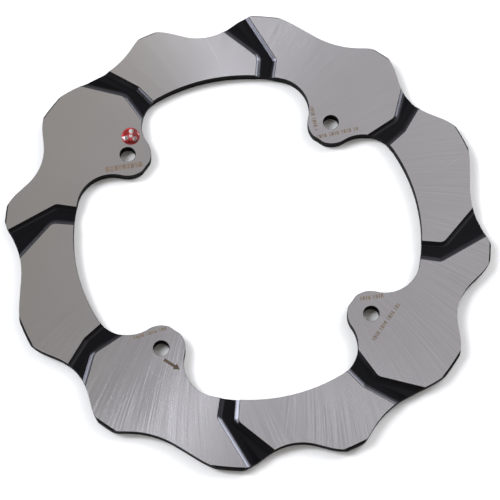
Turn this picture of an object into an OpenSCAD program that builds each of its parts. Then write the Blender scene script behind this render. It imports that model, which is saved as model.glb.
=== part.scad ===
// Fixed wave brake disc for an off-road motorcycle wheel.
// The disc lies flat: back face on z = 0, ground front face at z = disc_t,
// disc centre on the Z axis, hub ears on the diagonals between X and Y.

/* [Disc] */
// Outside diameter over the wave tips
disc_d = 246; // [244:0.5:250]
// Thickness of the plate
disc_t = 5; // [4.5:0.1:6]
// Chamfer on the turned edge of the wave tips
tip_chamfer = 0.8; // [0.3:0.1:1.2]
// Inside diameter of the braking ring between the ears
ring_inner_d = 176; // [172:0.5:180]

/* [Hub ears] */
// Diameter of the bolt circle
bolt_circle_d = 150; // [148:0.5:152]
// Diameter of the four bolt holes
bolt_hole_d = 8; // [6.5:0.1:9]
// Diameter of the bore that centres the ears on the hub
pilot_d = 127; // [126.5:0.1:130]
// Radius of the ear round each bolt hole
ear_r = 12; // [11:0.25:13]
// Radius of the fillet between an ear and the ring
ear_fillet_r = 18; // [16:0.5:20]

/* [Outer wave] */
// Depth of a deep scallop below the wave tips
deep_depth = 11; // [10:0.5:12]
// Depth of a shallow scallop below the wave tips
shallow_depth = 7.7; // [6.5:0.1:7.8]
// Angle of the first deep scallop from the X axis
deep_angle = 31; // [30:0.5:32]
// Angle of the first shallow scallop from the X axis
shallow_angle = 58.4; // [57.5:0.1:59.5]

/* [Grooves] */
// Depth of the grooves in both faces
groove_depth = 1.2; // [0.4:0.1:1.6]
// Slant of a groove wall, measured in the plane of the disc
groove_wall_run = 0.9; // [0.3:0.1:1.2]
// Height of the ridge that fans out along a groove floor
groove_ridge_h = 0.4; // [0:0.1:0.4]

/* [Badge] */
// Diameter of the round badge
badge_d = 9.4; // [6:0.2:11]
// Thickness of the printed foil of the badge
badge_foil_t = 0.2; // [0.1:0.05:0.4]
// Height of the clear resin dome on the foil
badge_dome_h = 0.9; // [0.5:0.1:1.5]

/* [Hidden] */
$fn = 96;

tip_r = disc_d / 2;
deep_bottom_r = tip_r - deep_depth;
shallow_bottom_r = tip_r - shallow_depth;
ring_r = ring_inner_d / 2;
bolt_r = bolt_circle_d / 2;
pilot_r = pilot_d / 2;
clear = 1;            // how far a cutter runs past a face or an edge
seam = 0.02;          // keeps two arcs from meeting in a bare tangent point

// Hub ears: one on each diagonal
ear_count = 4;
first_ear = 45;
// An ear fillet touches the ring from inside and the ear from outside
fillet_reach = ring_r - ear_fillet_r;
fillet_x = (pow(fillet_reach, 2) - pow(ear_r + ear_fillet_r, 2) + pow(bolt_r, 2)) / (2 * bolt_r);
fillet_y = sqrt(pow(fillet_reach, 2) - pow(fillet_x, 2));

// Outer wave: a deep and a shallow scallop in each sixth of the rim.
// A flank is [slope in degrees, straight length, radius of the shoulder above it].
wave_count = 6;
deep_hollow_r = 26.5;
deep_flank = [26, 6.3, 30];
shallow_hollow_r = 45;
shallow_steep_flank = [21, 4, 14];
shallow_gentle_flank = [10.5, 12, 60];

// Grooves: the two rails of each groove, from its inner end over the elbow
// to its outer end, drawn for one quarter of the disc
groove_sets = 4;
top_left_rail = [[19.2, 86], [21.9, 96.5], [7.4, 113.4]];
top_right_rail = [[29, 83.5], [32.2, 93.1], [22.1, 119.9]];
top_ridge = [[24, 99.5], [14.8, 117.5]];
side_left_rail = [[-43.2, 70.8], [-50.1, 85.6], [-70.5, 94.8]];
side_right_rail = [[-35.3, 80.8], [-41.2, 89.8], [-54.9, 101.2]];
side_ridge = [[-47, 87.5], [-62.5, 98.5]];
elbow_r = 4;          // rounding of a groove rail at its elbow
elbow_steps = 4;
rail_overrun = 12;    // rails run on this far past the rim and into the opening

// Badge: on the upper left ear, outboard of its bolt hole
badge_at = [-49.9, 62.8];

function unit(v) = v / norm(v);
function left_of(v) = [-v[1], v[0]];

// Rail with both ends run on by rail_overrun and its elbow rounded
function rounded_rail(rail) =
    let (
        a = unit(rail[0] - rail[1]),
        b = unit(rail[2] - rail[1]),
        half = acos(a * b) / 2,
        centre = rail[1] + unit(a + b) * elbow_r / sin(half),
        start = centre - unit(a + b) * elbow_r,
        swing = 90 - half,
        turn = sign(a[0] * b[1] - a[1] * b[0])
    )
    concat(
        [rail[0] + a * rail_overrun],
        [for (i = [0 : elbow_steps])
            let (angle = turn * swing * (1 - 2 * i / elbow_steps),
                 arm = start - centre)
            centre + [arm[0] * cos(angle) - arm[1] * sin(angle),
                      arm[0] * sin(angle) + arm[1] * cos(angle)]],
        [rail[2] + b * rail_overrun]
    );

// Rail moved sideways by a distance, to the left when it is positive
function moved_rail(rail, shift) =
    let (last = len(rail) - 1)
    [for (i = [0 : last])
        let (
            before = unit(rail[max(i, 1)] - rail[max(i, 1) - 1]),
            after = unit(rail[min(i, last - 1) + 1] - rail[min(i, last - 1)]),
            side = left_of(before) + left_of(after)
        )
        rail[i] + side * shift / (1 + before * after)];

function at_height(points, z) = [for (p = points) [p[0], p[1], z]];
function reversed(list) = [for (i = [len(list) - 1 : -1 : 0]) list[i]];

// Cutter for one groove: slanted walls on both rails and a flat floor
// with a low ridge that rises from the elbow towards the rim
module groove_cutter(left_rail, right_rail, ridge) {
    left = rounded_rail(left_rail);
    right = rounded_rail(right_rail);
    flare = groove_wall_run * clear / groove_depth;
    top = disc_t + clear;
    floor_z = disc_t - groove_depth;
    n = 2 * len(left);
    rim = len(left) - 1;
    ridge_end = ridge[1] + unit(ridge[1] - ridge[0]) * rail_overrun;
    ridge_rise = groove_ridge_h * norm(ridge_end - ridge[0]) / norm(ridge[1] - ridge[0]);
    points = concat(
        at_height(moved_rail(left, flare), top),
        at_height(reversed(moved_rail(right, -flare)), top),
        at_height(moved_rail(left, -groove_wall_run), floor_z),
        at_height(reversed(moved_rail(right, groove_wall_run)), floor_z),
        [[ridge[0][0], ridge[0][1], floor_z], [ridge_end[0], ridge_end[1], floor_z + ridge_rise]]
    );
    low = 2 * n;
    high = low + 1;
    walls = [for (i = [0 : n - 2]) if (i != rim) [i + 1, i, n + i, n + i + 1]];
    floor_fan = [for (i = [0 : n - 1]) if (i != rim) [low, n + (i + 1) % n, n + i]];
    ends = [
        [rim + 1, rim, high], [rim, n + rim, high], [rim + 1, high, n + rim + 1],
        [0, n - 1, 2 * n - 1], [0, 2 * n - 1, n],
        [n + rim, low, high], [low, n + rim + 1, high]
    ];
    polyhedron(points = points, faces = concat([[for (i = [0 : n - 1]) i]], walls, floor_fan, ends));
}

module groove_pair() {
    groove_cutter(top_left_rail, top_right_rail, top_ridge);
    groove_cutter(side_left_rail, side_right_rail, side_ridge);
}

module all_grooves() {
    for (i = [0 : groove_sets - 1]) rotate(i * 360 / groove_sets) {
        groove_pair();
        translate([0, 0, disc_t]) mirror([0, 0, 1]) groove_pair();
    }
}

// Half of a scallop, on the +X side of a valley that points along +Y
function flank_start(hollow_r, flank, bottom_r) =
    [hollow_r * sin(flank[0]), bottom_r + hollow_r * (1 - cos(flank[0]))];
function flank_end(hollow_r, flank, bottom_r) =
    flank_start(hollow_r, flank, bottom_r) + flank[1] * [cos(flank[0]), sin(flank[0])];
function shoulder_centre(hollow_r, flank, bottom_r) =
    flank_end(hollow_r, flank, bottom_r) + flank[2] * [sin(flank[0]), -cos(flank[0])];

module half_scallop(hollow_r, flank, bottom_r) {
    centre = shoulder_centre(hollow_r, flank, bottom_r);
    outside = tip_r + hollow_r;
    difference() {
        linear_extrude(height = disc_t + 2 * clear) polygon([
            [0, bottom_r + hollow_r * (1 - cos(flank[0]))],
            flank_start(hollow_r, flank, bottom_r),
            flank_end(hollow_r, flank, bottom_r),
            centre,
            [centre[0], outside],
            [0, outside]
        ]);
        translate([centre[0], centre[1], -clear]) cylinder(r = flank[2], h = disc_t + 4 * clear);
    }
}

module scallop(bottom_r, hollow_r, right_flank, left_flank) {
    translate([0, bottom_r + hollow_r, 0]) cylinder(r = hollow_r, h = disc_t + 2 * clear);
    half_scallop(hollow_r, right_flank, bottom_r);
    mirror([1, 0, 0]) half_scallop(hollow_r, left_flank, bottom_r);
}

module wave_scallops() {
    for (i = [0 : wave_count - 1]) rotate(i * 360 / wave_count - 90) translate([0, 0, -clear]) {
        rotate(deep_angle) scallop(deep_bottom_r, deep_hollow_r, deep_flank, deep_flank);
        rotate(shallow_angle)
            scallop(shallow_bottom_r, shallow_hollow_r, shallow_steep_flank, shallow_gentle_flank);
    }
}

// What stays of the opening as one hub ear, on the +X axis: a round end
// and a web with a fillet on each side, which runs on past the bore of the ring
module ear() {
    web_r = ring_r + clear;
    web_side = web_r / fillet_reach * [fillet_x, fillet_y];
    web_point = web_r * fillet_reach / fillet_x;
    translate([bolt_r, 0, -2 * clear]) cylinder(r = ear_r, h = disc_t + 4 * clear);
    difference() {
        translate([0, 0, -2 * clear]) linear_extrude(height = disc_t + 4 * clear) polygon([
            [bolt_r, 0],
            [fillet_x, fillet_y],
            web_side,
            [web_point, 0],
            [web_side[0], -web_side[1]],
            [fillet_x, -fillet_y]
        ]);
        for (side = [-1, 1]) translate([fillet_x, side * fillet_y, -3 * clear])
            cylinder(r = ear_fillet_r - seam, h = disc_t + 6 * clear);
    }
}

// Cutter for the middle of the disc: the bore of the ring without the ears,
// and the bore that centres the ears on the hub
module opening() {
    difference() {
        translate([0, 0, -clear]) cylinder(r = ring_r, h = disc_t + 2 * clear);
        at_each_ear() ear();
    }
    translate([0, 0, -clear]) cylinder(r = pilot_r, h = disc_t + 2 * clear);
}

module at_each_ear() {
    for (i = [0 : ear_count - 1]) rotate(first_ear + i * 360 / ear_count) children();
}

// Round plate with a chamfer on both edges, before anything is cut from it
module blank() {
    rotate_extrude() polygon([
        [0, 0],
        [tip_r - tip_chamfer, 0],
        [tip_r, tip_chamfer],
        [tip_r, disc_t - tip_chamfer],
        [tip_r - tip_chamfer, disc_t],
        [0, disc_t]
    ]);
}

// Plate with the wave rim, the grooves in both faces and the bolt holes
module disc() {
    color("silver") difference() {
        blank();
        opening();
        wave_scallops();
        all_grooves();
        at_each_ear() translate([bolt_r, 0, -clear])
            cylinder(d = bolt_hole_d, h = disc_t + 2 * clear);
    }
}

// Printed foil that is stuck on the front face
module badge_foil() {
    color("crimson") translate([badge_at[0], badge_at[1], disc_t])
        cylinder(d = badge_d, h = badge_foil_t);
}

// Clear resin cap: a spherical cap that covers the whole foil
module badge_dome() {
    cap_r = (pow(badge_d / 2, 2) + pow(badge_dome_h, 2)) / (2 * badge_dome_h);
    color([1, 0.4, 0.4, 0.6]) translate([badge_at[0], badge_at[1], disc_t + badge_foil_t])
        intersection() {
            translate([0, 0, badge_dome_h - cap_r]) sphere(r = cap_r, $fn = 240);
            cylinder(d = badge_d, h = badge_dome_h + clear);
        }
}

disc();
badge_foil();
badge_dome();
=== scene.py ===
import math

import bpy
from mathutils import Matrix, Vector
from mathutils.geometry import delaunay_2d_cdt, normal


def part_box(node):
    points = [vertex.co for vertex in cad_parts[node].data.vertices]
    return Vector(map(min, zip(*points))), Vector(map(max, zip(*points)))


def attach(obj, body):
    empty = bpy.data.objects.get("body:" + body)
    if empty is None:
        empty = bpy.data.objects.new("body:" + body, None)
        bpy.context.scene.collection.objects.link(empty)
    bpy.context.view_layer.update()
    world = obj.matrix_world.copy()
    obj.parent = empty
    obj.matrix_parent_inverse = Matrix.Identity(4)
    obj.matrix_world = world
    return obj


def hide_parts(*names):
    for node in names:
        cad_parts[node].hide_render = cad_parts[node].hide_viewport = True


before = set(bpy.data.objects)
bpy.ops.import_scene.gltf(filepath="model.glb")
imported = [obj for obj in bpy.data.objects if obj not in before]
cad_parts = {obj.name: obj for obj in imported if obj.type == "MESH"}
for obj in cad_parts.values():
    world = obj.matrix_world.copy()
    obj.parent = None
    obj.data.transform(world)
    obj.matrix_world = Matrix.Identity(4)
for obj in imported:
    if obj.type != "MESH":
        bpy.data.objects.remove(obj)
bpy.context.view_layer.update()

# Plan points are complex numbers in metres: the real part is X, the imaginary part is Y.
PLATE_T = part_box("disc")[1][2]
SAME = 2e-6               # heights closer than this are the same height

# Outer wave, as in the CAD part
TIP_R = 0.123
TIP_CHAMFER = 0.0008
RIM_R = 0.110             # everything outside this is the wave rim
EDGE_BREAK = 0.00015      # broken edge on the milled flanks, the bore and the ears
WAVE_COUNT = 6
DEEP_ANGLE = 31
SHALLOW_ANGLE = 58.4
# A flank is (slope in degrees, straight length, radius of the shoulder above it)
DEEP = {"bottom": 0.112, "hollow": 0.0265,
        "before": (26, 0.0063, 0.030), "after": (26, 0.0063, 0.030)}
SHALLOW = {"bottom": 0.1153, "hollow": 0.045,
           "before": (21, 0.004, 0.014), "after": (10.5, 0.012, 0.060)}

# Opening and hub ears
RING_R = 0.088
BOLT_R = 0.075
PILOT_R = 0.0635
EAR_R = 0.012
FILLET_R = 0.018
HOLE_R = 0.004
EAR_ANGLES = (45, 135, 225, 315)

# Grooves of one quarter: two rails, each from the inner end over the elbow to the outer end, and the
# line of the ridge
GROOVES = (
    ((0.0192 + 0.086j, 0.0219 + 0.0965j, 0.0074 + 0.1134j),
     (0.029 + 0.0835j, 0.0322 + 0.0931j, 0.0221 + 0.1199j),
     (0.024 + 0.0995j, 0.0148 + 0.1175j)),
    ((-0.0432 + 0.0708j, -0.0501 + 0.0856j, -0.0705 + 0.0948j),
     (-0.0353 + 0.0808j, -0.0412 + 0.0898j, -0.0549 + 0.1012j),
     (-0.047 + 0.0875j, -0.0625 + 0.0985j)),
)
GROOVE_DEPTH = 0.0012
RIDGE_H = 0.0004
RIDGE_HALF_WIDTH = 0.0035
ELBOW_R = 0.004
RAIL_OVERRUN = 0.012
GROOVE_REACH = 0.04       # no groove reaches farther than this from the inner end of its ridge
# Section of a groove wall: a steep lip, a nearly straight band, then a sweep into the level floor
LIP_RUN = 0.00025
BAND_RUN = 0.0010
BAND_TILTS = (27, 21)     # degrees, under the lip and at the sweep
SWEEP_RUN = 0.0021
BAND_STEPS, SWEEP_STEPS = 3, 7

# Laser marks on the front face
ARROW_TAIL = -0.0527 - 0.0590j
ARROW_TIP = -0.0459 - 0.0655j
ARROW_SHAFT_W = 0.0015
ARROW_HEAD_W = 0.0036
ARROW_HEAD_L = 0.0028
# Strokes are pairs of width and the gap after it
BOLD = ((0.0021, 0.0005), (0.0014, 0.0005), (0.0018, 0.0005), (0.0012, 0.0005))
THIN = ((0.0005, 0.0006), (0.0012, 0.0005), (0.0006, 0.0005), (0.0011, 0.0015))
STROKE_ROWS = (           # start, end, height, strokes
    (-0.0655 + 0.0450j, -0.0470 + 0.0450j, 0.0029, BOLD),
    (0.0445 + 0.0450j, 0.0660 + 0.0462j, 0.0020, THIN),
    (0.0438 + 0.0634j, 0.0438 + 0.0494j, 0.0020, THIN),
    (0.0492 - 0.0455j, 0.0602 - 0.0457j, 0.0020, THIN),
    (0.0520 - 0.0674j, 0.0685 - 0.0509j, 0.0020, THIN),
    (-0.0652 - 0.0462j, -0.0490 - 0.0440j, 0.0016, THIN),
)

# Badge: the dots are measured in radii of the badge
CENTRE_DOT_R = 0.20
OUTER_DOT_R = 0.27
OUTER_DOT_REACH = 0.56
OUTER_DOT_ANGLES = (75, 195, 315)
DOME_RINGS = 18
DOME_POWER = 2.6          # above 2 the cap is flatter on top and rounder at its rim than a sphere

# Fineness of the meshes
MAX_ARC_STEP = math.radians(3)
HOLE_SIDES = 64
TIP_SIDES = 360
BADGE_SIDES = 96
CENTRE_DOT_SIDES, OUTER_DOT_SIDES = 32, 40
PLATE_SHARP, FOIL_SHARP, DOME_SHARP = 11, 30, 60    # degrees; steeper edges are shaded sharp
MIN_MITRE = 0.4           # keeps an inset corner from running far out
MERGE_DISTANCE = 1e-7

# Material slots of the plate
GROUND, COAT, GLOSS, FLANK, DARK_MARK, PALE_MARK = range(6)
GLOSS_TILTS = (9, 32)     # degrees; the cutter leaves the foot of the walls smoother than the floor

# Ground steel. A grind is (slope, fineness, changes along the streak), as in grinding_streaks
FINE_GRINDS = ((-0.30, 380.0, 22.0), (0.32, 380.0, 22.0))
LONG_GRINDS = ((-0.30, 150.0, 12.0), (0.33, 150.0, 12.0))
LONG_SPANS = ((0.74, 0.86), (0.76, 0.88))           # noise values that make a long scratch
# Painted tint of the light: the warm pair is laid on the left of the steel, where the warm room light
# falls, the cool pair elsewhere
STEEL_IN_WARM_LIGHT = ((0.385, 0.373, 0.368, 1), (0.512, 0.496, 0.490, 1))   # dark and light streaks
STEEL_IN_COOL_LIGHT = ((0.367, 0.361, 0.383, 1), (0.488, 0.480, 0.509, 1))
SCRATCH_COLOUR = (0.80, 0.79, 0.79, 1)
SCRATCH_SHARE = 0.25
GRAIN_TURNS = (0.035, 0.018)                        # of a full turn, under each of the two grinds
STREAK_TURN = 0.034

NOISE_SPAN = (0.3, 0.7)   # nearly all values of a noise lie in it

# Stage
FLOOR_HALF = 3.0
FLOOR_Z = -0.00005
CAMERA_PLACE = (-0.0840, -0.3854, 1.0067)
CAMERA_TURNS = (21.016, -0.889, -10.194)            # degrees
CAMERA_LENS = 153.42
LIGHT_COLOUR = (0.93, 0.955, 1.0)
LIGHTS = (                # name, place, aim, width, length, radiance
    ("left_strip", (-1.0, 0.80, 1.1), (1.0, 0, -1.1), 0.34, 1.60, 7.5),
    ("right_strip", (1.2, 0.87, 0.92), (-1.2, 0, -0.92), 0.27, 1.34, 9.5),
    ("left_tower", (-1.3, 0.78, 1.43), (1.0, 0, -1.1), 1.50, 0.42, 14.5),
    ("right_tower", (1.56, 0.97, 1.20), (-1.2, 0, -0.92), 1.60, 0.34, 8.0),
)
ROOM_COLOUR = (0.14, 0.122, 0.105, 1)
PATCH_COLOUR = (0.91, 0.895, 0.885, 1)
PATCH_AIM = (0.40, 0.40, 0.82)
PATCH_COSINES = (0.78, 0.98)                        # at its rim and where it is full
WALL_COLOUR = (1.0, 1.0, 1.0, 1)
WALL_HEIGHTS = (0.70, 0.42)                         # sine of the elevation at its top and where it is full


# ---------------------------------------------------------------- plan geometry

def unit(v):
    return v / abs(v)


def polar(r, degrees):
    return r * complex(math.cos(math.radians(degrees)), math.sin(math.radians(degrees)))


def dot(a, b):
    return a.real * b.real + a.imag * b.imag


def arc(centre, start, end):
    """Points from start to end on the shorter arc about centre, both ends included."""
    turn = math.remainder(math.atan2((end - centre).imag, (end - centre).real)
                          - math.atan2((start - centre).imag, (start - centre).real), 2 * math.pi)
    steps = max(2, math.ceil(abs(turn) / MAX_ARC_STEP))
    return [centre + (start - centre) * complex(math.cos(turn * i / steps), math.sin(turn * i / steps))
            for i in range(steps)] + [end]


def circle(centre, r, count):
    return [centre + polar(r, 360 * i / count) for i in range(count)]


def half_scallop(bottom, hollow, flank):
    """Side of a valley on the +X axis, from its bottom up to the tip circle, on the +Y side."""
    slope, straight, shoulder = math.radians(flank[0]), flank[1], flank[2]
    along = complex(math.sin(slope), math.cos(slope))
    valley = complex(bottom + hollow, 0)
    foot = valley + hollow * complex(-math.cos(slope), math.sin(slope))
    top = foot + straight * along
    centre = top + shoulder * complex(-math.cos(slope), math.sin(slope))
    # Where the shoulder meets the tip circle, on the far side of the radius through its centre
    reach = abs(centre)
    x = (reach ** 2 + TIP_R ** 2 - shoulder ** 2) / (2 * reach)
    corner = unit(centre) * complex(x, -math.sqrt(TIP_R ** 2 - x ** 2))
    return arc(valley, complex(bottom, 0), foot) + arc(centre, top, corner)


def outer_loop():
    loop = []
    for i in range(WAVE_COUNT):
        for angle, wave in ((DEEP_ANGLE, DEEP), (SHALLOW_ANGLE, SHALLOW)):
            before = half_scallop(wave["bottom"], wave["hollow"], wave["before"])
            after = half_scallop(wave["bottom"], wave["hollow"], wave["after"])
            side = [p.conjugate() for p in reversed(before)] + after[1:]
            side = [p * polar(1, angle + i * 360 / WAVE_COUNT) for p in side]
            if loop:
                loop += arc(0, loop[-1], side[0])[1:-1]
            loop += side
    return loop + arc(0, loop[-1], loop[0])[1:-1]


def inner_loop():
    """The bore of the ring with the four ears reaching into it."""
    fillet_reach = RING_R - FILLET_R
    x = (fillet_reach ** 2 - (EAR_R + FILLET_R) ** 2 + BOLT_R ** 2) / (2 * BOLT_R)
    fillet = complex(x, -math.sqrt(fillet_reach ** 2 - x ** 2))
    ear_end = (PILOT_R ** 2 - EAR_R ** 2 + BOLT_R ** 2) / (2 * BOLT_R)
    end_corner = complex(ear_end, -math.sqrt(PILOT_R ** 2 - ear_end ** 2))
    on_ring = unit(fillet) * RING_R
    on_ear = BOLT_R + unit(fillet - BOLT_R) * EAR_R
    half = arc(fillet, on_ring, on_ear) + arc(BOLT_R, on_ear, end_corner)[1:]
    ear = half + arc(0, end_corner, end_corner.conjugate())[1:-1] + [p.conjugate() for p in reversed(half)]
    loop = []
    for angle in EAR_ANGLES:
        turned = [p * polar(1, angle) for p in ear]
        if loop:
            loop += arc(0, loop[-1], turned[0])[1:-1]
        loop += turned
    return loop + arc(0, loop[-1], loop[0])[1:-1]


def inset(loop, distance):
    """Closed loop moved to its left by distance."""
    moved = []
    for i, p in enumerate(loop):
        before = unit(p - loop[i - 1])
        after = unit(loop[(i + 1) % len(loop)] - p)
        moved.append(p + 1j * (before + after) * distance / max(MIN_MITRE, 1 + dot(before, after)))
    return moved


class Rail:
    """One edge of a groove: two straight lines and the rounding between them. A positive shift or
    distance lies on the groove's side."""

    def __init__(self, points, side):
        start, elbow, end = points
        self.first = unit(elbow - start)
        self.second = unit(end - elbow)
        self.side = side
        self.turn = 1 if dot(1j * self.first, self.second) > 0 else -1
        bisector = unit(self.second - self.first)
        half = math.acos(dot(-self.first, self.second)) / 2
        self.centre = elbow + bisector * ELBOW_R / math.sin(half)
        self.start = start - self.first * RAIL_OVERRUN
        self.end = end + self.second * RAIL_OVERRUN

    def shifted(self, distance):
        r = ELBOW_R - self.side * self.turn * distance
        away = -1j * self.turn
        tangent_1 = self.centre + away * self.first * r
        tangent_2 = self.centre + away * self.second * r
        shift = 1j * self.side * distance
        return ([self.start + shift * self.first] + arc(self.centre, tangent_1, tangent_2)
                + [self.end + shift * self.second])

    def distance(self, p):
        arm = p - self.centre
        if dot(arm, self.first) < 0:
            return self.side * dot(p - self.start, 1j * self.first)
        if dot(arm, self.second) > 0:
            return self.side * dot(p - self.end, 1j * self.second)
        return self.side * self.turn * (ELBOW_R - abs(arm))


def wall_section():
    """(distance from the rail, depth) along a groove wall, from the face down to the floor."""
    upper, lower = (math.radians(tilt) for tilt in BAND_TILTS)
    distance, depth = LIP_RUN + BAND_RUN + SWEEP_RUN, GROOVE_DEPTH
    section = [(distance, depth)]
    for run, low, high, steps in ((SWEEP_RUN, 0.0, lower, SWEEP_STEPS),
                                  (BAND_RUN, lower, upper, BAND_STEPS)):
        r = run / (math.sin(high) - math.sin(low))
        for i in range(1, steps + 1):
            tilt = low + (high - low) * i / steps
            section.append((distance - r * (math.sin(tilt) - math.sin(low)),
                            depth - r * (math.cos(low) - math.cos(tilt))))
        distance, depth = section[-1]
    return [(0.0, 0.0)] + section[::-1]


WALL = wall_section()


def wall_depth(distance):
    """Depth under the face at a distance from the rail."""
    if distance <= 0:
        return 0.0
    for (d0, z0), (d1, z1) in zip(WALL, WALL[1:]):
        if distance <= d1:
            return z0 + (z1 - z0) * (distance - d0) / (d1 - d0)
    return GROOVE_DEPTH


class Groove:
    def __init__(self, left, right, ridge, angle):
        turn = polar(1, angle)
        self.rails = (Rail([p * turn for p in left], -1), Rail([p * turn for p in right], 1))
        self.ridge = [p * turn for p in ridge]
        self.along = unit(self.ridge[1] - self.ridge[0])
        self.length = abs(self.ridge[1] - self.ridge[0])

    def curves(self):
        for rail in self.rails:
            for distance, _ in WALL:
                yield rail.shifted(distance)
        far = self.length + RAIL_OVERRUN
        for lean in (-1, 0, 1):
            spread = lean * RIDGE_HALF_WIDTH * far / self.length
            yield [self.ridge[0], self.ridge[0] + self.along * complex(far, spread)]

    def depth(self, p):
        walls = min(wall_depth(rail.distance(p)) for rail in self.rails)
        local = (p - self.ridge[0]) / self.along
        share = local.real / self.length
        if share <= 0:
            return walls
        crest = RIDGE_H * share * max(0.0, 1 - abs(local.imag) / (RIDGE_HALF_WIDTH * share))
        return min(walls, GROOVE_DEPTH - crest)


def arrow():
    along = unit(ARROW_TIP - ARROW_TAIL)
    neck = ARROW_TIP - along * ARROW_HEAD_L
    right = -1j * along
    return [ARROW_TAIL + right * ARROW_SHAFT_W / 2, neck + right * ARROW_SHAFT_W / 2,
            neck + right * ARROW_HEAD_W / 2, ARROW_TIP, neck - right * ARROW_HEAD_W / 2,
            neck - right * ARROW_SHAFT_W / 2, ARROW_TAIL - right * ARROW_SHAFT_W / 2]


def stroke_row(start, end, height, pattern):
    """A row of plain strokes in place of engraved words. The pattern repeats until the row is full."""
    along = unit(end - start)
    strokes = []
    at = 0.0
    while at < abs(end - start):
        width, gap = pattern[len(strokes) % len(pattern)]
        base = start + along * at
        strokes.append([base, base + along * width, base + along * complex(width, height),
                        base + along * complex(0, height)])
        at += width + gap
    return strokes


def marks():
    """(outline, slot) of each laser mark."""
    strokes = [stroke for row in STROKE_ROWS for stroke in stroke_row(*row)]
    return [(arrow(), DARK_MARK)] + [(stroke, PALE_MARK) for stroke in strokes]


# ---------------------------------------------------------------- meshes

def new_object(name, vertices, faces, slots, materials, sharp_angle):
    mesh = bpy.data.meshes.new(name)
    mesh.from_pydata(vertices, [], faces)
    for material in materials:
        mesh.materials.append(material)
    mesh.polygons.foreach_set("material_index", slots)
    mesh.polygons.foreach_set("use_smooth", [True] * len(faces))
    mesh.validate()
    mesh.set_sharp_from_angle(angle=math.radians(sharp_angle))
    piece = bpy.data.objects.new(name, mesh)
    bpy.context.scene.collection.objects.link(piece)
    return piece


class Plan:
    """Curves in the plane, cut into triangles that remember the closed areas they lie in."""

    def __init__(self):
        self.points = []
        self.edges = []
        self.areas = []

    def curve(self, points, closed=False):
        first = len(self.points)
        self.points += [Vector((p.real, p.imag)) for p in points]
        last = len(self.points) - 1
        self.edges += [(i, i + 1) for i in range(first, last)]
        if closed:
            self.edges.append((last, first))
        return list(range(first, last + 1))

    def area(self, points):
        """Adds a closed loop and returns the number that its triangles carry."""
        signed = sum((p.conjugate() * q).imag for p, q in zip(points, points[1:] + points[:1]))
        self.areas.append(self.curve(points if signed > 0 else points[::-1], closed=True))
        return len(self.areas) - 1

    def triangles(self):
        points, _, faces, _, _, inside = delaunay_2d_cdt(self.points, self.edges, self.areas, 0,
                                                         MERGE_DISTANCE, True)
        return [complex(p.x, p.y) for p in points], list(zip(faces, inside))


def border(faces):
    """The edges that only one face uses, in that face's direction."""
    users = {}
    for face in faces:
        for a, b in zip(face, face[1:] + face[:1]):
            users.setdefault((min(a, b), max(a, b)), []).append((a, b))
    return [pair[0] for pair in users.values() if len(pair) == 1]


def finish_of(corners, mark):
    """Slot of a triangle of the front face. mark is the slot of the laser mark on it, or None."""
    depths = [PLATE_T - corner[2] for corner in corners]
    if max(depths) < SAME:
        return GROUND if mark is None else mark
    radius = min(math.hypot(corner[0], corner[1]) for corner in corners)
    if max(depths) < EDGE_BREAK + SAME:
        return GROUND if radius > RIM_R else FLANK
    if radius > TIP_R - TIP_CHAMFER - SAME:
        return FLANK
    tilt = math.degrees(math.acos(min(1.0, normal([Vector(corner) for corner in corners]).z)))
    return GLOSS if GLOSS_TILTS[0] < tilt < GLOSS_TILTS[1] else COAT


def make_plate(materials):
    """The steel plate: a triangulated plan, lifted to the front face and to the back face, with the
    grooves, the chamfer and the broken edges worked into both, and walls between them."""
    plan = Plan()
    outer, inner = outer_loop(), inner_loop()
    body = plan.area(outer)
    holes = [plan.area(inner)]
    holes += [plan.area(circle(polar(BOLT_R, angle), HOLE_R, HOLE_SIDES)) for angle in EAR_ANGLES]
    marked = {plan.area(loop): slot for loop, slot in marks()}
    plan.curve(inset(outer, EDGE_BREAK), closed=True)
    plan.curve(inset(inner, -EDGE_BREAK), closed=True)
    for angle in EAR_ANGLES:
        plan.curve(circle(polar(BOLT_R, angle), HOLE_R + EDGE_BREAK, HOLE_SIDES), closed=True)
    plan.curve(circle(0, TIP_R - TIP_CHAMFER, TIP_SIDES), closed=True)
    grooves = [Groove(*shape, quarter * 90) for quarter in range(4) for shape in GROOVES]
    for groove in grooves:
        for curve in groove.curves():
            plan.curve(curve)
    points, triangles = plan.triangles()
    kept = [(face, inside) for face, inside in triangles
            if body in inside and not any(hole in inside for hole in holes)]

    used = {}
    for face, _ in kept:
        for i in face:
            used.setdefault(i, len(used))
    rim = border([face for face, _ in kept])
    on_rim = {i for edge in rim for i in edge}

    depths = {}
    for i in used:
        p = points[i]
        near = [groove.depth(p) for groove in grooves if abs(p - groove.ridge[0]) < GROOVE_REACH]
        chamfer = max(0.0, abs(p) - (TIP_R - TIP_CHAMFER))
        edge = EDGE_BREAK if i in on_rim else 0.0
        depths[i] = max([chamfer, edge] + near)

    count = len(used)
    order = sorted(used, key=used.get)
    vertices = [(points[i].real, points[i].imag, PLATE_T - depths[i]) for i in order]
    vertices += [(points[i].real, points[i].imag, depths[i]) for i in order]
    faces, slots = [], []
    for face, inside in kept:
        front = [used[i] for i in face]
        corners = [vertices[i] for i in front]
        mark = next((marked[area] for area in inside if area in marked), None)
        faces.append(front)
        slots.append(finish_of(corners, mark))
        faces.append([i + count for i in reversed(front)])
        slots.append(finish_of(corners, None))
    for a, b in rim:
        faces.append([used[b], used[a], used[a] + count, used[b] + count])
        slots.append(FLANK)
    plate = new_object("plate", vertices, faces, slots, materials, PLATE_SHARP)
    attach(plate, "root")
    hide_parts("disc")


# ---------------------------------------------------------------- badge

def badge_place():
    """Centre, radius, bottom and top of the foil in the CAD part."""
    low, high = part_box("badge_foil")
    centre = complex((low[0] + high[0]) / 2, (low[1] + high[1]) / 2)
    return centre, (high[0] - low[0]) / 2, low[2], high[2]


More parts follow.
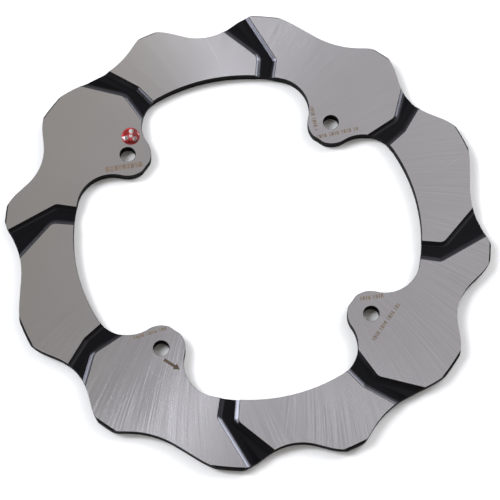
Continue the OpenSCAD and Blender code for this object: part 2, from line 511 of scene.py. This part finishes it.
def make_badge_foil(materials):
    """Printed foil: red, with four white dots, each its own area."""
    centre, r, low, high = badge_place()
    plan = Plan()
    body = plan.area(circle(centre, r, BADGE_SIDES))
    white = {plan.area(circle(centre, r * CENTRE_DOT_R, CENTRE_DOT_SIDES))}
    for angle in OUTER_DOT_ANGLES:
        dot_centre = centre + polar(r * OUTER_DOT_REACH, angle)
        white.add(plan.area(circle(dot_centre, r * OUTER_DOT_R, OUTER_DOT_SIDES)))
    points, triangles = plan.triangles()
    kept = [(face, inside) for face, inside in triangles if body in inside]
    count = len(points)
    vertices = [(p.real, p.imag, high) for p in points] + [(p.real, p.imag, low) for p in points]
    faces, slots = [], []
    for face, inside in kept:
        faces.append(list(face))
        slots.append(1 if white & set(inside) else 0)
        faces.append([i + count for i in reversed(face)])
        slots.append(0)
    for a, b in border([face for face, _ in kept]):
        faces.append([b, a, a + count, b + count])
        slots.append(0)
    foil = new_object("badge_print", vertices, faces, slots, materials, FOIL_SHARP)
    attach(foil, "root")
    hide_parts("badge_foil")


def make_badge_dome(materials):
    """Clear resin cap, rounded down to the foil at its rim."""
    centre, r, _, low = badge_place()
    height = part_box("badge_dome")[1][2] - low
    vertices = [(centre.real, centre.imag, low + height)]
    for ring in range(1, DOME_RINGS + 1):
        share = math.sin(math.pi / 2 * ring / DOME_RINGS)
        z = low + height * math.sqrt(max(0.0, 1 - share ** DOME_POWER))
        for p in circle(centre, r * share, BADGE_SIDES):
            vertices.append((p.real, p.imag, z))
    faces = [[0, 1 + i, 1 + (i + 1) % BADGE_SIDES] for i in range(BADGE_SIDES)]
    for ring in range(DOME_RINGS - 1):
        a, b = 1 + ring * BADGE_SIDES, 1 + (ring + 1) * BADGE_SIDES
        for i in range(BADGE_SIDES):
            j = (i + 1) % BADGE_SIDES
            faces.append([a + i, b + i, b + j, a + j])
    last = 1 + (DOME_RINGS - 1) * BADGE_SIDES
    faces.append([last + i for i in reversed(range(BADGE_SIDES))])
    dome = new_object("badge_resin", vertices, faces, [0] * len(faces), materials, DOME_SHARP)
    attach(dome, "root")
    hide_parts("badge_dome")


# ---------------------------------------------------------------- materials

class Nodes:
    """The node tree of one material. Each method adds a node and returns its output."""

    def __init__(self, name):
        self.material = bpy.data.materials.new(name)
        self.material.use_nodes = True
        self.tree = self.material.node_tree
        self.tree.nodes.clear()
        self.place = self.add("ShaderNodeTexCoord").outputs["Object"]

    def add(self, kind, inputs=None, **settings):
        node = self.tree.nodes.new(kind)
        for key, value in settings.items():
            setattr(node, key, value)
        for key, value in (inputs or {}).items():
            if isinstance(value, bpy.types.NodeSocket):
                self.tree.links.new(value, node.inputs[key])
            else:
                node.inputs[key].default_value = value
        return node

    def math(self, operation, *values):
        return self.add("ShaderNodeMath", dict(enumerate(values)), operation=operation).outputs[0]

    def vector(self, operation, *values):
        return self.add("ShaderNodeVectorMath", dict(enumerate(values)), operation=operation).outputs[0]

    def noise(self, place, scale, detail, roughness=0.5):
        node = self.add("ShaderNodeTexNoise", {"Vector": place, "Scale": scale, "Detail": detail,
                                               "Roughness": roughness})
        return node.outputs["Fac"]

    def between(self, value, low, high, to_low=0.0, to_high=1.0):
        return self.add("ShaderNodeMapRange", {"Value": value, "From Min": low, "From Max": high,
                                               "To Min": to_low, "To Max": to_high}).outputs["Result"]

    def spread(self, noise, to_low=0.0, to_high=1.0):
        """The noise stretched to run from to_low to to_high."""
        return self.between(noise, *NOISE_SPAN, to_low, to_high)

    def mix(self, factor, a, b):
        return self.add("ShaderNodeMix", {0: factor, 6: a, 7: b}, data_type="RGBA").outputs[2]

    def bump(self, height, distance, strength):
        return self.add("ShaderNodeBump", {"Height": height, "Distance": distance,
                                           "Strength": strength}).outputs["Normal"]

    def finish(self, shader):
        self.add("ShaderNodeOutputMaterial", {"Surface": shader})
        return self.material


def grinding_streaks(nodes, slope, fineness, along):
    """Noise drawn out along the arcs of a face grinder, which cross a radius at a constant angle.
    slope is the tangent of that angle, fineness is the changes per radian, along is per metre."""
    flat = nodes.vector("MULTIPLY", nodes.place, (1.0, 1.0, 0.0))
    r = nodes.add("ShaderNodeVectorMath", {0: flat}, operation="LENGTH").outputs["Value"]
    log_r = nodes.math("LOGARITHM", nodes.math("DIVIDE", r, RING_R), math.e)
    turned = nodes.add("ShaderNodeVectorRotate", {"Vector": nodes.vector("NORMALIZE", flat),
                                                  "Angle": nodes.math("MULTIPLY", log_r, slope)},
                       rotation_type="Z_AXIS").outputs[0]
    wide = nodes.vector("MULTIPLY", turned, (fineness, fineness, 0.0))
    lift = nodes.add("ShaderNodeCombineXYZ", {"Z": nodes.math("MULTIPLY", r, along)}).outputs[0]
    return nodes.vector("ADD", wide, lift)


def ground_steel():
    nodes = Nodes("ground_steel")
    side, height, _ = nodes.add("ShaderNodeSeparateXYZ", {0: nodes.place}).outputs

    # Two grinds that cross: one on the left, the other on the right, with a ragged border
    fine = [nodes.noise(grinding_streaks(nodes, *grind), 1.0, 3.0, 0.65) for grind in FINE_GRINDS]
    drift = nodes.math("ADD", nodes.noise(nodes.place, 22.0, 2.0), nodes.math("MULTIPLY", side, 5.0))
    where = nodes.between(drift, 0.38, 0.62)
    lines = nodes.add("ShaderNodeMix", {0: where, 2: fine[0], 3: fine[1]}).outputs[0]
    long_lines = [nodes.between(nodes.noise(grinding_streaks(nodes, *grind), 1.0, 1.0), *span)
                  for grind, span in zip(LONG_GRINDS, LONG_SPANS)]
    scratches = nodes.math("MAXIMUM", *long_lines)

    # The streaks are painted with more contrast towards the lower right, a painted sheen where the
    # highlights fall, and the steel is painted warmer towards the left, a painted tint of the warm room
    # light there
    slope = nodes.math("SUBTRACT", nodes.math("MULTIPLY", side, 0.45), height)
    # Painted sheen: the colour streaks are stronger towards the lower right, where the highlights lie
    painted_sheen_share = nodes.between(slope, -0.06, 0.09, 0.2, 1.0)
    cloud = nodes.spread(nodes.noise(nodes.place, 30.0, 3.0), 0.44, 0.56)
    tone = nodes.math("ADD", nodes.math("MULTIPLY", painted_sheen_share, nodes.spread(lines, -0.5, 0.5)), cloud)
    # Painted tint of the light: the steel is coloured warmer towards the left, where the warm room light
    # falls
    lean = nodes.math("SUBTRACT", side, nodes.math("MULTIPLY", height, 0.5))
    cool_light_share = nodes.between(lean, -0.11, -0.04)
    dark, light = (nodes.mix(cool_light_share, *pair) for pair in zip(STEEL_IN_WARM_LIGHT, STEEL_IN_COOL_LIGHT))
    colour = nodes.mix(nodes.math("MULTIPLY", scratches, SCRATCH_SHARE), nodes.mix(tone, dark, light),
                       SCRATCH_COLOUR)
    grain = nodes.math("ADD", nodes.between(where, 0.0, 1.0, *GRAIN_TURNS),
                       nodes.spread(lines, -STREAK_TURN, STREAK_TURN))
    shader = nodes.add("ShaderNodeBsdfPrincipled", {
        "Base Color": colour,
        "Metallic": 1.0,
        "Roughness": nodes.spread(lines, 0.17, 0.21),
        "Anisotropic": 0.95,
        "Anisotropic Rotation": grain,
        "Tangent": nodes.add("ShaderNodeTangent", direction_type="RADIAL", axis="Z").outputs[0],
        "Normal": nodes.bump(lines, 0.00001, 0.2),
    })
    return nodes.finish(shader.outputs[0])


def black_coat(name, gloss):
    """The coat in the grooves, slightly blue in its gloss and with a fine orange peel."""
    nodes = Nodes(name)
    peel = nodes.noise(nodes.place, 2600.0, 2.0)
    cloud = nodes.noise(nodes.place, 90.0, 3.0)
    shader = nodes.add("ShaderNodeBsdfPrincipled", {
        "Base Color": nodes.mix(cloud, (0.0004, 0.0004, 0.0006, 1), (0.0012, 0.0012, 0.0016, 1)),
        "Roughness": nodes.spread(cloud, 0.15, 0.21),
        "Specular IOR Level": gloss,
        "Specular Tint": (0.86, 0.87, 1.0, 1),
        "Normal": nodes.bump(peel, 0.00002, 0.3),
    })
    return nodes.finish(shader.outputs[0])


def black_flank():
    """The coat on the milled sides: fine vertical tool marks and hardly any gloss."""
    nodes = Nodes("black_flank")
    cutter = nodes.noise(nodes.vector("MULTIPLY", nodes.place, (2500.0, 2500.0, 120.0)), 1.0, 2.0)
    shader = nodes.add("ShaderNodeBsdfPrincipled", {
        "Base Color": nodes.mix(cutter, (0.001, 0.001, 0.001, 1), (0.003, 0.003, 0.003, 1)),
        "Roughness": nodes.spread(cutter, 0.5, 0.65),
        "Specular IOR Level": 0.06,
        "Normal": nodes.bump(cutter, 0.00003, 0.5),
    })
    return nodes.finish(shader.outputs[0])


def laser_mark(name, dark, light):
    """Steel browned by a laser, line by line."""
    nodes = Nodes(name)
    lines = nodes.noise(nodes.vector("MULTIPLY", nodes.place, (400.0, 5200.0, 400.0)), 1.0, 2.0)
    cloud = nodes.noise(nodes.place, 700.0, 2.0)
    tone = nodes.math("MULTIPLY", nodes.math("ADD", lines, cloud), 0.5)
    shader = nodes.add("ShaderNodeBsdfPrincipled", {
        "Base Color": nodes.mix(nodes.between(tone, 0.35, 0.65), dark, light),
        "Metallic": 0.6,
        "Roughness": nodes.spread(lines, 0.45, 0.6),
        "Normal": nodes.bump(lines, 0.00001, 0.4),
    })
    return nodes.finish(shader.outputs[0])


def foil_print(name, dark, light):
    nodes = Nodes(name)
    dots = nodes.noise(nodes.place, 4000.0, 1.0)
    shader = nodes.add("ShaderNodeBsdfPrincipled", {
        "Base Color": nodes.mix(dots, dark, light),
        "Roughness": nodes.spread(dots, 0.38, 0.46),
        "Normal": nodes.bump(dots, 0.000005, 0.3),
    })
    return nodes.finish(shader.outputs[0])


def clear_resin():
    nodes = Nodes("clear_resin")
    ripple = nodes.noise(nodes.place, 500.0, 1.0)
    waves = nodes.bump(ripple, 0.00002, 0.3)
    clear = nodes.add("ShaderNodeBsdfTransparent", {"Color": (1.0, 0.99, 0.99, 1)})
    gloss = nodes.add("ShaderNodeBsdfGlossy", {
        "Color": (1, 1, 1, 1),
        "Roughness": nodes.spread(ripple, 0.04, 0.08),
        "Normal": waves,
    })
    share = nodes.add("ShaderNodeFresnel", {"IOR": 1.5, "Normal": waves}).outputs[0]
    shader = nodes.add("ShaderNodeMixShader", {0: share, 1: clear.outputs[0], 2: gloss.outputs[0]})
    return nodes.finish(shader.outputs[0])


# ---------------------------------------------------------------- stage

def make_floor():
    mesh = bpy.data.meshes.new("floor")
    corners = ((-1, -1), (1, -1), (1, 1), (-1, 1))
    mesh.from_pydata([(x * FLOOR_HALF, y * FLOOR_HALF, FLOOR_Z) for x, y in corners], [], [(0, 1, 2, 3)])
    nodes = Nodes("paper")
    grain = nodes.noise(nodes.place, 300.0, 2.0)
    shader = nodes.add("ShaderNodeBsdfPrincipled", {
        "Base Color": nodes.mix(grain, (0.89, 0.89, 0.89, 1), (0.91, 0.91, 0.91, 1)),
        "Roughness": 0.9,
        "Specular IOR Level": 0.1,
    })
    mesh.materials.append(nodes.finish(shader.outputs[0]))
    floor = bpy.data.objects.new("floor", mesh)
    bpy.context.scene.collection.objects.link(floor)


def soft_box(name, place, aim, width, length, radiance):
    """A rectangular light that shines along aim; length is its level side."""
    light = bpy.data.lights.new(name, "AREA")
    light.shape = "RECTANGLE"
    light.size = width
    light.size_y = length
    light.energy = radiance * math.pi * width * length
    light.color = LIGHT_COLOUR
    lamp = bpy.data.objects.new(name, light)
    lamp.location = place
    lamp.rotation_euler = Vector(aim).to_track_quat("-Z", "X").to_euler()
    bpy.context.scene.collection.objects.link(lamp)


def make_room():
    """The world: dim and warm, with a wide soft patch high on the right and bright walls all round."""
    world = bpy.data.worlds.new("studio")
    world.use_nodes = True
    tree = world.node_tree
    place = tree.nodes.new("ShaderNodeTexCoord").outputs["Generated"]

    def share(value, zero_at, one_at):
        node = tree.nodes.new("ShaderNodeMapRange")
        tree.links.new(value, node.inputs["Value"])
        node.inputs["From Min"].default_value = zero_at
        node.inputs["From Max"].default_value = one_at
        return node.outputs["Result"]

    def mixed(factor, a, b):
        node = tree.nodes.new("ShaderNodeMix")
        node.data_type = "RGBA"
        node.inputs[7].default_value = b
        tree.links.new(factor, node.inputs[0])
        if isinstance(a, tuple):
            node.inputs[6].default_value = a
        else:
            tree.links.new(a, node.inputs[6])
        return node.outputs[2]

    aim = tree.nodes.new("ShaderNodeVectorMath")
    aim.operation = "DOT_PRODUCT"
    aim.inputs[1].default_value = Vector(PATCH_AIM).normalized()
    tree.links.new(place, aim.inputs[0])
    split = tree.nodes.new("ShaderNodeSeparateXYZ")
    tree.links.new(place, split.inputs[0])
    room = mixed(share(aim.outputs["Value"], *PATCH_COSINES), ROOM_COLOUR, PATCH_COLOUR)
    room = mixed(share(split.outputs["Z"], *WALL_HEIGHTS), room, WALL_COLOUR)
    tree.links.new(room, tree.nodes["Background"].inputs["Color"])
    bpy.context.scene.world = world


def make_camera():
    camera = bpy.data.cameras.new("camera")
    camera.sensor_width = 36
    camera.lens = CAMERA_LENS
    camera.clip_start = 0.05
    eye = bpy.data.objects.new("camera", camera)
    eye.location = CAMERA_PLACE
    eye.rotation_euler = [math.radians(turn) for turn in CAMERA_TURNS]
    bpy.context.scene.collection.objects.link(eye)
    bpy.context.scene.camera = eye


make_camera()
for box in LIGHTS:
    soft_box(*box)
make_room()
make_floor()
bpy.context.scene.view_settings.view_transform = "Standard"
make_plate([ground_steel(), black_coat("black_coat", 0.17), black_coat("black_gloss", 0.58), black_flank(),
            laser_mark("dark_mark", (0.05, 0.034, 0.022, 1), (0.11, 0.08, 0.058, 1)),
            laser_mark("pale_mark", (0.13, 0.095, 0.07, 1), (0.21, 0.165, 0.13, 1))])
make_badge_foil([foil_print("print_red", (0.72, 0.006, 0.014, 1), (0.84, 0.010, 0.020, 1)),
                 foil_print("print_white", (0.90, 0.90, 0.90, 1), (0.96, 0.96, 0.96, 1))])
make_badge_dome([clear_resin()])
